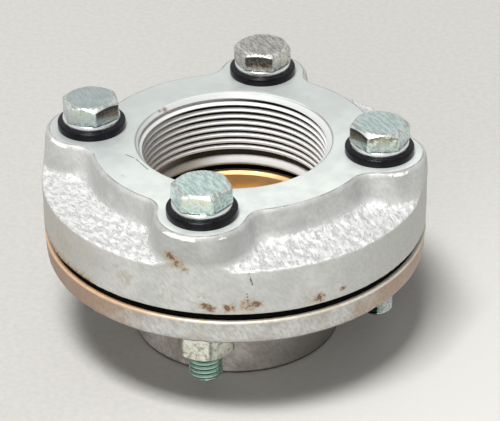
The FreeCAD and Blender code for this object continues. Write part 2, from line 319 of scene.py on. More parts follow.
def mark_creases(piece, degrees):
    """Smooth shading, with creases where faces meet at more than an angle."""
    piece.data.polygons.foreach_set("use_smooth", [True] * len(piece.data.polygons))
    piece.data.set_sharp_from_angle(angle=math.radians(degrees))


def outline(corners, spacing):
    """Points (radius, height) along a closed line, evenly spaced, from (radius, height, rounding) corners."""
    points = []
    for index, (radius, height, rounding) in enumerate(corners):
        corner = np.array((radius, height))
        if rounding == 0:
            points.append(corner)
            continue
        before = np.array(corners[index - 1][:2]) - corner
        after = np.array(corners[(index + 1) % len(corners)][:2]) - corner
        before = before / np.linalg.norm(before)
        after = after / np.linalg.norm(after)
        half = math.acos(np.clip(before @ after, -1, 1)) / 2
        reach = rounding / math.tan(half)
        steps = max(3, math.ceil((math.pi - 2 * half) * rounding / spacing))
        centre = corner + (before + after) / np.linalg.norm(before + after) * rounding / math.sin(half)
        start = corner + before * reach - centre
        end = corner + after * reach - centre
        sideways = np.array((-start[1], start[0]))
        sweep = math.atan2(sideways @ end, start @ end)
        for step in range(steps + 1):
            angle = sweep * step / steps
            points.append(centre + (start * math.cos(angle) + sideways * math.sin(angle)))
    result = []
    for one, other in zip(points, points[1:] + points[:1]):
        steps = max(1, math.ceil(np.linalg.norm(other - one) / spacing - 0.01))
        result.extend(one + (other - one) * step / steps for step in range(steps))
    return result


def lathe(name, corners, columns, spacing, axis=(0.0, 0.0)):
    """A turned ring from a closed outline of (radius, height, rounding) corners."""
    skin = Skin(axis)
    rings = skin.rings(outline(corners, spacing), columns)
    skin.stack(rings + rings[:1])
    return skin.mesh(name)


def cut_bolt_holes(piece, radius, low, high):
    """Cuts an upright hole at each bolt."""
    cutters = bmesh.new()
    for axis in BOLT_AXES.values():
        middle = Matrix.Translation(Vector((*axis, (low + high) / 2)) * MM)
        bmesh.ops.create_cone(cutters, cap_ends=True, segments=ROUND_COLUMNS, radius1=radius * MM,
                              radius2=radius * MM, depth=(high - low + 2) * MM, matrix=middle)
    cutter = shape_object("cutters", cutters)
    cut = piece.modifiers.new("holes", "BOOLEAN")
    cut.operation = "DIFFERENCE"
    cut.solver = "EXACT"
    cut.object = cutter
    evaluated = piece.evaluated_get(bpy.context.evaluated_depsgraph_get())
    result = bpy.data.meshes.new_from_object(evaluated)
    piece.modifiers.clear()
    old = piece.data
    piece.data = result
    bpy.data.meshes.remove(old)
    bpy.data.objects.remove(cutter)
    mark_creases(piece, CAST_CREASE_DEG)


def points_of(piece):
    """The points of a mesh and their normals, points in millimetres."""
    count = len(piece.data.vertices)
    points = np.zeros(count * 3)
    normals = np.zeros(count * 3)
    piece.data.vertices.foreach_get("co", points)
    piece.data.vertex_normals.foreach_get("vector", normals)
    return points.reshape(-1, 3) / MM, normals.reshape(-1, 3)


def around(points, axis=(0.0, 0.0)):
    """How far each point lies from an upright axis, and in what direction from it, radians."""
    x = points[:, 0] - axis[0]
    y = points[:, 1] - axis[1]
    return np.hypot(x, y), np.arctan2(y, x)


def near_bolts(points, reach):
    """Which points lie within a reach of a bolt's axis."""
    return np.any([around(points, axis)[0] < reach for axis in BOLT_AXES.values()], axis=0)


def press_in(piece, depth):
    """Moves each point of a mesh inwards along its normal by a depth in millimetres."""
    points, normals = points_of(piece)
    moved = (points - normals * depth[:, None]) * MM
    piece.data.vertices.foreach_set("co", moved.ravel())
    piece.data.update()


def roughen(piece, where, depth, *layers):
    """Presses a surface in by a depth and by layers of noise (size, strength, seed), and nowhere outwards."""
    points = points_of(piece)[0]
    bumps = (layered_noise(points, size, 2, seed) * strength for size, strength, seed in layers)
    press_in(piece, where * np.maximum(sum(bumps, depth), 0))


def paint(piece, **layers):
    """Keeps values from 0 to 1 for the points of a mesh, for its material to read by name."""
    for name, values in layers.items():
        layer = piece.data.attributes.new(name, "FLOAT", "POINT")
        layer.data.foreach_set("value", np.full(len(layer.data), np.clip(values, 0, 1), np.float32))


def dress_casting(piece, surfaces, on_face, in_bore):
    """Gives each polygon of a casting the surface of its cast skin, its machined face or its bore."""
    for material in surfaces:
        piece.data.materials.append(material)
    for polygon in piece.data.polygons:
        corners = list(polygon.vertices)
        polygon.material_index = 2 if in_bore[corners].all() else int(on_face[corners].all())


# Iron flange

def top_outline_distance(radius, angle):
    """How far a place lies outside the hub, lugs and blends at the iron's top, seen from above."""
    alpha = np.abs((angle + TURN / 8) % (TURN / 4) - TURN / 8)
    x = radius * np.cos(alpha)
    y = radius * np.sin(alpha)
    from_axis = HUB_RADIUS + BLEND_RADIUS
    from_bolt = LUG_RADIUS + BLEND_RADIUS
    across = BOLT_CIRCLE_RADIUS
    blend_angle = math.acos((from_axis**2 + across**2 - from_bolt**2) / (2 * from_axis * across))
    blend_x = from_axis * math.cos(blend_angle)
    blend_y = from_axis * math.sin(blend_angle)
    lug_angle = math.atan2(blend_y, blend_x - across)
    to_hub = radius - HUB_RADIUS
    to_lug = np.hypot(x - across, y) - LUG_RADIUS
    to_blend = BLEND_RADIUS - np.hypot(x - blend_x, y - blend_y)
    on_lug = np.arctan2(y, x - across) < lug_angle
    return np.where(alpha > blend_angle, to_hub, np.where(on_lug, to_lug, to_blend))


def wall_distance(radius, angle, height):
    """How far a place lies outside the drafted walls of hub and lugs, measured level."""
    return top_outline_distance(radius, angle) - (IRON_TOP - height) * math.tan(DRAFT)


def round_union(one, other, rounding):
    """Distance to two solids joined with a fillet."""
    gap = np.hypot(np.maximum(rounding - one, 0), np.maximum(rounding - other, 0))
    return np.maximum(rounding, np.minimum(one, other)) - gap


def round_common(one, other, rounding):
    """Distance to what two solids share, with a rounded edge."""
    return -round_union(-one, -other, rounding)


def iron_distance(radius, angle, height):
    """Negative inside the iron flange's outer skin and positive outside, about in millimetres."""
    wall = wall_distance(radius, angle, height) * math.cos(DRAFT)
    slope = SHOULDER_RISE / (FLANGE_RADIUS - HUB_RADIUS)
    shoulder = height - RIM_EDGE_HEIGHT - slope * (FLANGE_RADIUS - radius)
    body = round_union(wall, shoulder, SHOULDER_FILLET)
    body = round_common(body, height - IRON_TOP, TOP_ROUNDING)
    rounding = LUG_FRONT_ROUNDING + (RIM_ROUNDING - LUG_FRONT_ROUNDING) * smooth_step(0.3, 1.5, wall)
    body = round_common(body, radius - FLANGE_RADIUS, rounding)
    return round_common(body, IRON_FACE - height, EDGE_ROUNDING)


# The iron's outer skin is found along rays that fan out from a ring inside the casting: the ring's radius and
# height, the fan's first and last direction, how many rays it has, their length, and how often each is halved
SPINE_RADIUS = 42.0
SPINE_HEIGHT = 47.0
FAN_DEG = (124.0, -43.0)
FAN_RAYS = 900
RAY_LENGTH = 45.0
HALVINGS = 30

# Radius of the ring of points about halfway out on the underside
UNDERSIDE_MIDDLE = 44.0

# Bands of the outer skin: the heights at which each starts and ends, and the number of its rows
SKIN_BANDS = (
    (IRON_TOP - 0.004, IRON_TOP - 1.0, 8),
    (IRON_TOP - 1.0, RIM_EDGE_HEIGHT - 1.0, 54),
    (RIM_EDGE_HEIGHT - 1.0, IRON_FACE + 0.5, 17),
    (IRON_FACE + 0.5, IRON_FACE + 0.004, 3),
)


def iron_profiles(columns):
    """The outer skin's rows from the flat top to the underside, as (radius, height) columns."""
    fan = np.radians(np.linspace(*FAN_DEG, FAN_RAYS))
    angle = (np.arange(columns) * TURN / columns)[:, None]
    near = np.zeros((columns, FAN_RAYS))
    far = np.full((columns, FAN_RAYS), RAY_LENGTH)
    for halving in range(HALVINGS):
        middle = (near + far) / 2
        radii = SPINE_RADIUS + middle * np.cos(fan)
        heights = SPINE_HEIGHT + middle * np.sin(fan)
        outside = iron_distance(radii, angle, heights) > 0
        far = np.where(outside, middle, far)
        near = np.where(outside, near, middle)
    radii = SPINE_RADIUS + far * np.cos(fan)
    heights = SPINE_HEIGHT + far * np.sin(fan)
    rows = []
    for radius, height in zip(radii, heights):
        height = np.minimum.accumulate(height)
        length = np.concatenate(([0], np.cumsum(np.hypot(np.diff(radius), np.diff(height)))))
        falling = -height + np.arange(FAN_RAYS) * 1e-9
        places = []
        for start, end, count in SKIN_BANDS:
            first, last = np.interp((-start, -end), falling, length)
            places.extend(np.linspace(first, last, count, endpoint=False))
        places.append(last)
        rows.append((np.interp(places, length, radius), np.interp(places, length, height)))
    return np.array(rows).transpose(2, 1, 0)


PIPE_THREAD = Thread(RELIEF_TOP - PIPE_PITCH / 2, PIPE_PITCH, CREST_RADIUS, PIPE_THREAD_DEPTH, 1,
                     MOUTH_CHAMFER_FOOT, PIPE_TAPER)
# How much the mouth's edge is broken
MOUTH_EDGE = 0.15


def threaded_bore_radius(height, angle):
    """Radius of the threaded bore with its mouth's chamfer."""
    return np.maximum(PIPE_THREAD.radius(height, angle), MOUTH_RADIUS - (IRON_TOP - height))


def make_iron_flange():
    """The iron casting with its machined top, taper thread, relief groove and bolt holes."""
    columns = IRON_COLUMNS
    bore_columns = columns // 2
    skin = Skin()
    profiles = iron_profiles(columns)
    outer = skin.rings(profiles, columns)
    skin.stack(outer)
    flat_width = profiles[0][0] - MOUTH_RADIUS
    flat = [(MOUTH_RADIUS + MOUTH_EDGE + flat_width * part, IRON_TOP) for part in (0.05, 0.35, 0.7, 0.93)]
    top = skin.rings(flat, columns)
    skin.stack(top + outer[:1])
    mouth = skin.ring(MOUTH_RADIUS + MOUTH_EDGE, IRON_TOP, bore_columns)
    skin.join_finer(mouth, top[0])
    thread = skin.helix(bore_columns, PIPE_THREAD, RELIEF_TOP, IRON_TOP - MOUTH_EDGE, threaded_bore_radius)
    skin.join(thread[-1], mouth)
    bore = skin.rings([
        (PILOT_CHAMFER_RADIUS, IRON_FACE),
        (CREST_RADIUS + 0.05, IRON_FACE + 0.6),
        (CREST_RADIUS, IRON_FACE + 0.9),
        (CREST_RADIUS + 0.05, IRON_FACE + 1.1),
        (CREST_RADIUS + 0.8, RELIEF_BOTTOM - 0.1),
        (CREST_RADIUS + 0.9, RELIEF_BOTTOM),
        (RELIEF_RADIUS - 0.1, RELIEF_BOTTOM + 0.05),
        (RELIEF_RADIUS, RELIEF_BOTTOM + 0.2),
        (RELIEF_RADIUS, RELIEF_TOP - 0.1),
    ], bore_columns)
    skin.stack(bore)
    skin.join(bore[-1], thread[0])
    under = skin.rings([(PILOT_CHAMFER_RADIUS + 0.6, IRON_FACE), (UNDERSIDE_MIDDLE, IRON_FACE)], columns)
    skin.join_finer(bore[0], under[0])
    skin.stack(under + outer[-1:])
    piece = skin.mesh("iron_flange_casting")
    cut_bolt_holes(piece, IRON_HOLE_RADIUS, IRON_FACE, IRON_TOP)
    finish_iron(piece)
    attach(piece, "root")
    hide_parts("iron_flange")


def finish_iron(piece):
    """The cast skin's lumps and grain, values for its materials to read, and a material for each surface."""
    points, normals = points_of(piece)
    radius, angle = around(points)
    height = points[:, 2]
    upward = normals[:, 2]
    drop = IRON_TOP - height
    wall = wall_distance(radius, angle, height)
    in_bore = radius < MOUTH_RADIUS + 0.3
    level = (height > IRON_TOP - 0.02) | (height < IRON_FACE + 0.02)
    cast = ~(in_bore | level | near_bolts(points, IRON_HOLE_RADIUS + 0.1))
    shelf = smooth_step(0.3, 0.7, upward) * smooth_step(0.0, 1.6, wall) * cast
    side = cast * (1 - shelf)
    # The shelf is ribbed aslant on its right and lumpy on its left
    along = radius * angle
    slant = np.stack((along * 0.85 + radius * 0.75, along * 0.22 - radius * 0.25, height * 0.3), axis=1)
    ribs = layered_noise(slant, 1.5, 2, 11)
    lumps = layered_noise(points, 2.6, 3, 12)
    ribbed = smooth_step(-1.75, -1.35, angle) * smooth_step(0.35, 0.0, angle)
    rough = ribs * 0.30 * ribbed + lumps * (0.42 - 0.16 * ribbed)
    grain = layered_noise(points, 1.3, 2, 13)
    swell = layered_noise(points, 7.0, 2, 14)
    pressed = shelf * (0.22 + rough + grain * 0.10) + side * (0.08 + grain * 0.06 + swell * 0.08)
    # Nothing swells out at the rim, and the top's edge keeps its line
    at_rim = smooth_step(FLANGE_RADIUS - 0.6, FLANGE_RADIUS - 0.1, radius) * cast
    pressed = np.maximum(pressed, pressed * (1 - at_rim))
    pressed = np.where(at_rim > 0.5, np.maximum(pressed, 0), pressed)
    press_in(piece, pressed * smooth_step(0.0, 0.7, drop))
    rounded = smooth_step(0.15, 0.45, drop) * smooth_step(1.5, 1.0, drop)
    paint(
        piece,
        depth=bore_depth(radius, height) * in_bore,
        rust=near_spots(points, RUST_SPECKS, 2.4) + edge_rust(angle, height) * cast,
        stain=near_spots(points, STAINS),
        shelf=(0.5 * smooth_step(0.1, 0.9, upward) + 0.5 * shelf) * (wall > 0) * cast,
        top_edge=rounded * near_spots(points, TOP_HIGHLIGHTS) * cast,
        top_line=smooth_step(0.16, 0.05, drop) * cast * (wall < 2.0),
    )
    surfaces = (material_iron_cast(), material_iron_machined(), material_iron_thread())
    dress_casting(piece, surfaces, level, in_bore)


def bore_depth(radius, height):
    """How deep a place lies in the thread: 0 at its crest, 1 at its root and in the relief."""
    in_thread = (radius - CREST_RADIUS) / PIPE_THREAD.depth_at(height)
    in_thread = in_thread * (height > RELIEF_TOP) * (height < MOUTH_CHAMFER_FOOT + 0.6)
    at_relief = (height > RELIEF_BOTTOM - 0.05) & (height < RELIEF_TOP + 0.05)
    return np.maximum(in_thread, at_relief & (radius > CREST_RADIUS + 0.85))


# Radius of the rim's side and of the front lug's, where most of the marks below lie
ON_RIM = 58.7
ON_LUG = 57.5

# Where rust shows through the plating: angle in degrees, radius, height, and reach in millimetres
RUST_SPECKS = (
    (-86.5, ON_RIM, 41.6, 1.3),
    (-85.0, ON_RIM, 40.8, 1.4),
    (-79.9, ON_RIM, 41.2, 1.7),
    (-74.4, ON_RIM, 42.0, 1.9),
    (-72.4, ON_RIM, 42.4, 1.6),
    (-53.7, ON_RIM, 41.0, 1.7),
    (-46.0, ON_RIM, 41.5, 1.0),
    (-96.1, ON_LUG, 56.9, 1.8),
    (-94.3, ON_LUG, 54.9, 1.8),
    (-92.3, ON_LUG, 53.1, 1.4),
    (149.0, 29.3, 63.4, 0.6),
    (153.0, 29.6, 63.6, 0.4),
)

# Where a highlight is painted on the top's rounded edge of three lugs, given the same way
TOP_HIGHLIGHTS = (
    (-94.0, 58.0, 63.2, 6.0),
    (-81.0, 57.5, 63.2, 2.0),
    (-168.0, 52.5, 63.2, 5.0),
    (-11.0, 52.0, 63.2, 4.0),
)

# Faint brown stains, given the same way
STAINS = (
    (-111.0, ON_RIM, 45.8, 4.5),
    (-113.0, ON_RIM, 48.0, 3.5),
    (-97.0, ON_RIM, 44.5, 5.0),
    (-88.0, ON_RIM, 43.0, 5.0),
    (-76.0, ON_RIM, 42.5, 4.0),
    (-138.0, ON_RIM, 45.0, 5.0),
    (-95.0, ON_LUG, 55.0, 5.0),
    (-57.0, ON_RIM, 41.5, 4.0),
)


def near_spots(points, spots, softness=1.3):
    """1 at the middle of each spot, falling to 0 at softness times its reach; a spot is wider than high."""
    nearness = np.zeros(len(points))
    for degrees, radius, height, reach in spots:
        angle = math.radians(degrees)
        centre = np.array((radius * math.cos(angle), radius * math.sin(angle), height))
        away = np.linalg.norm((points - centre) * (1.0, 1.0, 1.3), axis=1)
        nearness = np.maximum(nearness, 1 - smooth_step(0.3 * reach, softness * reach, away))
    return nearness


def edge_rust(angle, height):
    """Rust along the iron's lower edge on its left and, less, on its right."""
    on_left = smooth_step(math.radians(-118), math.radians(-128), angle) * smooth_step(-math.pi, -2.9, angle)
    on_right = smooth_step(math.radians(-52), math.radians(-30), angle) * smooth_step(0.4, 0.0, angle)
    up = height - IRON_FACE
    left_band = np.maximum(smooth_step(1.2, 0.5, up) * 1.15, smooth_step(4.5, 0.8, up) * 0.75)
    right_band = smooth_step(1.2, 0.4, up) * 0.6
    return np.maximum(on_left * left_band, on_right * right_band)


# Bronze flange

def make_bronze_flange():
    """The bronze casting: a rough rim and hub, a machined face, the waterway and the solder cup."""
    corners = [
        (SOLDER_CUP_RADIUS + 0.8, 0.0, 0.0),
        (SOLDER_HUB_RADIUS, 0.0, 0.5),
        (SOLDER_HUB_RADIUS, BRONZE_UNDERSIDE, 2.0),
        (BRONZE_RIM_FOOT, BRONZE_UNDERSIDE, 2.5),
        (FLANGE_RADIUS, BRONZE_FACE, BRONZE_EDGE_ROUNDING),
        (WATERWAY_RADIUS + WATERWAY_CHAMFER, BRONZE_FACE, 0.1),
        (WATERWAY_RADIUS, BRONZE_FACE - WATERWAY_CHAMFER, 0.1),
        (WATERWAY_RADIUS, TUBE_STOP_TOP, 0.1),
        (TUBE_STOP_RADIUS, TUBE_STOP_TOP, 0.15),
        (TUBE_STOP_RADIUS, TUBE_STOP_BOTTOM, 0.15),
        (SOLDER_CUP_RADIUS, TUBE_STOP_BOTTOM, 0.0),
        (SOLDER_CUP_RADIUS, 0.8, 0.0),
    ]
    piece = lathe("bronze_flange_casting", corners, BRONZE_COLUMNS, 0.85)
    cut_bolt_holes(piece, PLAIN_HOLE_RADIUS, BRONZE_UNDERSIDE, BRONZE_FACE)
    finish_bronze(piece)
    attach(piece, "root")
    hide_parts("bronze_flange")


def finish_bronze(piece):
    """The bronze's sand-cast skin, and a material each for it, its face and its bore."""
    points = points_of(piece)[0]
    radius, angle = around(points)
    height = points[:, 2]
    in_bore = radius < GASKET_BORE_RADIUS
    on_face = height > BRONZE_FACE - BRONZE_EDGE_ROUNDING - 0.05
    near_hole = near_bolts(points, NUT_WASHER_RADIUS + 0.3) & (radius < FLANGE_RADIUS - 1.5)
    cast = ~(in_bore | on_face | near_hole | (height < 0.6))
    front = smooth_step(math.radians(-130), math.radians(-92), angle)
    front *= smooth_step(math.radians(-16), math.radians(-60), angle)
    on_hub = (radius < SOLDER_HUB_RADIUS + 1.5) & (height < BRONZE_UNDERSIDE - 0.5)
    roughen(piece, cast, 0.14, (1.5, 0.14, 21), (6.0, 0.08, 22))
    paint(piece, front=front, hub=on_hub)
    surfaces = (material_bronze_cast(), material_bronze_face(), material_bronze_bore())
    dress_casting(piece, surfaces, on_face, in_bore)


# Fasteners

def hex_radius(angle, turn):
    """Distance from the axis to the side of a hexagon with worn corners."""
    from_corner = (angle - turn) % (TURN / 6) - TURN / 12
    flat = HEX_APOTHEM / np.cos(from_corner)
    worn = 0.04
    blend = np.clip(0.5 + 0.5 * (HEX_CORNER_RADIUS - flat) / worn, 0, 1)
    return flat * blend + HEX_CORNER_RADIUS * (1 - blend) - worn * blend * (1 - blend) * 0.5


def soften(rows, reach):
    """Rounds a column's corner points: each becomes three that cut across it, reach millimetres away."""
    softened = [rows[0]]
    for before, corner, after in zip(rows, rows[1:], rows[2:]):
        to_before = before - corner
        to_after = after - corner
        step_before = to_before / np.linalg.norm(to_before, axis=0) * reach
        step_after = to_after / np.linalg.norm(to_after, axis=0) * reach
        softened += [corner + step_before, corner + (step_before + step_after) * 0.3, corner + step_after]
    return softened + [rows[-1]]


def hex_rows(columns, turn, bottom, top, bevel_bottom):
    """Rows of a hexagon's side with its bevels and flat faces, as (radius, height) columns."""
    side = hex_radius(np.arange(columns) * TURN / columns + turn, turn)
    bevel = np.maximum(side - HEX_FACE_RADIUS, 0) * HEX_BEVEL
    if bevel_bottom:
        rows = [(HEX_FACE_RADIUS * 0.8, bottom), (HEX_FACE_RADIUS, bottom), (side, bottom + bevel)]
    else:
        rows = [(HEX_FACE_RADIUS, bottom), (side, bottom)]
    rows += [(side, top - bevel), (HEX_FACE_RADIUS, top), (HEX_FACE_RADIUS * 0.75, top)]
    return [np.array([np.broadcast_to(part, columns) for part in row]) for row in rows]


def unturned(ring, turn):
    """A turned ring's points, begun at the one nearest to where an unturned ring begins."""
    shift = round(turn / TURN * len(ring))
    return ring[-shift:] + ring[:-shift]


BOLT_THREAD = Thread(BOLT_END, BOLT_PITCH, BOLT_RADIUS, BOLT_THREAD_DEPTH, -1)
NUT_COUNTERSINK = 0.6

# How dull each bolt's plating is
BOLT_DULLNESS = {"front": 0.0, "right": 0.45, "back": 1.0, "left": 0.9}
# Which way each bolt's cream face and its dark face look, in degrees, and how cream or dark they are; the
# cream is a painted pale reflection, the dark a painted dark reflection and shade
CREAM_FACES = {"front": (-88.0, 1.0), "right": (-74.0, 0.9), "back": (-27.0, 0.5), "left": (-96.0, 0.45)}
DARK_FACES = {"front": (-28.0, 0.35), "right": (-134.0, 0.9), "back": (-87.0, 0.85), "left": (-36.0, 0.9)}


def facing(normals, degrees):
    """1 where a surface looks level in a direction, and 0 more than 26 degrees away from it."""
    angle = math.radians(degrees)
    alike = normals[:, 0] * math.cos(angle) + normals[:, 1] * math.sin(angle)
    return smooth_step(0.90, 0.96, alike)


def make_bolt(place):
    """A forged hexagon head bolt with a rolled thread."""
    columns = FASTENER_COLUMNS
    axis = BOLT_AXES[place]
    turn = math.radians(HEAD_TURNS_DEG[place])
    skin = Skin(axis)

    def radius_at(height, angle):
        thread = BOLT_THREAD.radius(height, angle)
        end = BOLT_RADIUS - BOLT_END_CHAMFER + (height - BOLT_END) * 0.9
        run_out = BOLT_RADIUS - BOLT_THREAD_DEPTH + np.maximum(height - BOLT_THREAD_TOP + 1.5, 0) * 0.62
        return np.minimum(np.maximum(thread, run_out), np.minimum(end, BOLT_RADIUS))

    thread = skin.helix(columns, BOLT_THREAD, BOLT_END, BOLT_THREAD_TOP, radius_at)
    end_face = [(2.0, BOLT_END), (BOLT_RADIUS - BOLT_END_CHAMFER - 0.3, BOLT_END)]
    end_rings = skin.rings(end_face, columns)
    skin.cap(end_rings[0], BOLT_END)
    skin.stack(end_rings + thread[:1])
    shank = skin.rings([(BOLT_RADIUS, BOLT_THREAD_TOP + 1), (BOLT_RADIUS, HEAD_SEAT - 0.3)], columns)
    skin.stack(thread[-1:] + shank)
    rows = [(BOLT_RADIUS + 0.3, HEAD_SEAT)]
    rows += soften(hex_rows(columns, turn, HEAD_SEAT, HEAD_TOP, False), 0.22)
    rows += [(HEX_FACE_RADIUS * 0.5, HEAD_TOP), (HEX_FACE_RADIUS * 0.25, HEAD_TOP)]
    head = skin.rings(rows, columns, turn)
    skin.join(shank[-1], unturned(head[0], turn))
    skin.stack(head)
    skin.cap(head[-1], HEAD_TOP)
    piece = skin.mesh("hex_bolt_" + place, HEX_CREASE_DEG)
    finish_bolt(piece, place)
    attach(piece, "root")
    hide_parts("bolt_" + place)


def finish_bolt(piece, place):
    """The head's dents and grain, and values for the plating to read."""
    axis = BOLT_AXES[place]
    points, normals = points_of(piece)
    height = points[:, 2]
    away = around(points, axis)[0]
    forged = height > HEAD_SEAT + 0.3
    cream_way, cream = CREAM_FACES[place]
    dark_way, dark = DARK_FACES[place]
    on_bevel = (away > HEX_FACE_RADIUS + 0.05) & (normals[:, 2] > 0.4)
    below_bevel = smooth_step(0.9, 0.2, np.abs(height - HEAD_TOP + 1.2)) * facing(normals, cream_way)
    # Painted shade on the threaded end below the nut, deepest in the grooves
    grooved = 0.45 + 0.55 * np.clip((BOLT_RADIUS - away) / BOLT_THREAD_DEPTH, 0, 1)
    # The right bolt's bevel is stained; its end takes the bevel's paler colour as a painted highlight, with
    # painted shade on one side
    is_right = place == "right"
    on_one_side = 0.95 * smooth_step(2.5, 0.5, points[:, 0] - axis[0])
    paint(
        piece,
        dull=BOLT_DULLNESS[place],
        grey=float(place == "back"),
        # The cream and dark faces are painted reflections and shade
        cream=facing(normals, cream_way) * forged * cream,
        dark=facing(normals, dark_way) * forged * dark,
        bevel=on_bevel | (is_right & (height < NUT_BOTTOM)),
        stain=below_bevel * is_right,
        end=smooth_step(NUT_BOTTOM + 2.0, NUT_BOTTOM, height) * (on_one_side if is_right else grooved),
    )
    seed = 40 + PLACES.index(place)
    roughen(piece, forged, 0.05, (3.2, 0.06, seed), (0.9, 0.03, seed + 9))
    piece.data.materials.append(material_bolt())


def make_nut(place):
    """A hexagon nut whose thread runs on the bolt's, with a little play."""
    columns = FASTENER_COLUMNS
    axis = BOLT_AXES[place]
    turn = math.radians(NUT_TURNS_DEG[place])
    skin = Skin(axis)

    def radius_at(height, angle):
        thread = BOLT_THREAD.radius(height, angle) + THREAD_GAP
        from_end = np.minimum(height - NUT_BOTTOM, NUT_SEAT - height)
        return np.maximum(thread, BOLT_RADIUS + THREAD_GAP + NUT_COUNTERSINK - from_end)

    thread = skin.helix(columns, BOLT_THREAD, NUT_BOTTOM, NUT_SEAT, radius_at)
    side = skin.rings(soften(hex_rows(columns, turn, NUT_BOTTOM, NUT_SEAT, True), 0.25), columns, turn)
    skin.stack(side)
    skin.join(thread[0], unturned(side[0], turn))
    skin.join(thread[-1], unturned(side[-1], turn))
    piece = skin.mesh("hex_nut_" + place, HEX_CREASE_DEG)
    points, normals = points_of(piece)
    away, angle = around(points, axis)
    forged = (away > BOLT_RADIUS + 1.0) & (points[:, 2] < NUT_SEAT - 0.1)
    to_corner = np.abs((angle - turn + TURN / 12) % (TURN / 6) - TURN / 12)
    corner = smooth_step(math.radians(4.0), math.radians(1.5), to_corner) * (away > HEX_APOTHEM)
    alike = normals @ np.array((0.2, -0.98, 0.0))
    turned_away = smooth_step(0.93, 0.55, alike) * (np.abs(normals[:, 2]) < 0.5)
    # Painted shade along the hexagon's corners and on the faces turned away from the front
    paint(piece, dark=forged * np.maximum(corner * 0.8, turned_away * 0.6))
    seed = 60 + PLACES.index(place)
    roughen(piece, forged, 0.06, (2.6, 0.08, seed), (0.8, 0.04, seed + 9))
    piece.data.materials.append(material_nut())
    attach(piece, "root")
    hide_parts("nut_" + place)


def make_washer(place, kind, radius, low, high):
    """A stamped washer: its upper edge is rolled over, and its lower one sharper."""
    corners = [
        (WASHER_HOLE_RADIUS, low, 0.15),
        (radius, low, 0.15),
        (radius, high, 0.35),
        (WASHER_HOLE_RADIUS, high, 0.3),
    ]
    piece = lathe(kind + "_stamped_" + place, corners, ROUND_COLUMNS, 0.8, BOLT_AXES[place])
    piece.data.materials.append(material_washer())
    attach(piece, "root")
    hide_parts(kind + "_" + place)


def make_sleeve(place):
    """A moulded plastic sleeve with a collar, whose edges are softly rounded."""
    corners = [
        (SLEEVE_BORE_RADIUS, SLEEVE_BOTTOM, 0.1),
        (SLEEVE_RADIUS, SLEEVE_BOTTOM, 0.3),
        (SLEEVE_RADIUS, IRON_TOP, 0.0),
        (COLLAR_RADIUS, IRON_TOP, 0.2),
        (COLLAR_RADIUS, COLLAR_TOP, 0.45),
        (SLEEVE_BORE_RADIUS, COLLAR_TOP, 0.2),
    ]
    piece = lathe("moulded_sleeve_" + place, corners, ROUND_COLUMNS, 1.2, BOLT_AXES[place])
    piece.data.materials.append(material_plastic())
    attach(piece, "root")
    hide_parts("insulating_sleeve_" + place)


# Materials

UP = (0.0, 0.0, 1.0)
# How the grain of the castings and of the bolt heads slants, radians, and how long the castings' is
WALL_SLANT = (0.0, 0.86, 0.21)
HEAD_SLANT = (0.0, 0.0, -0.89)
SHELF_SLANT = (0.0, 0.0, -1.10)
LEFT_SHELF_SLANT = (0.0, 0.0, -0.66)
SCRATCH_SLANT = (0.0, 0.0, -0.5)
WALL_STROKE = (2.6, 1.0, 1.0)


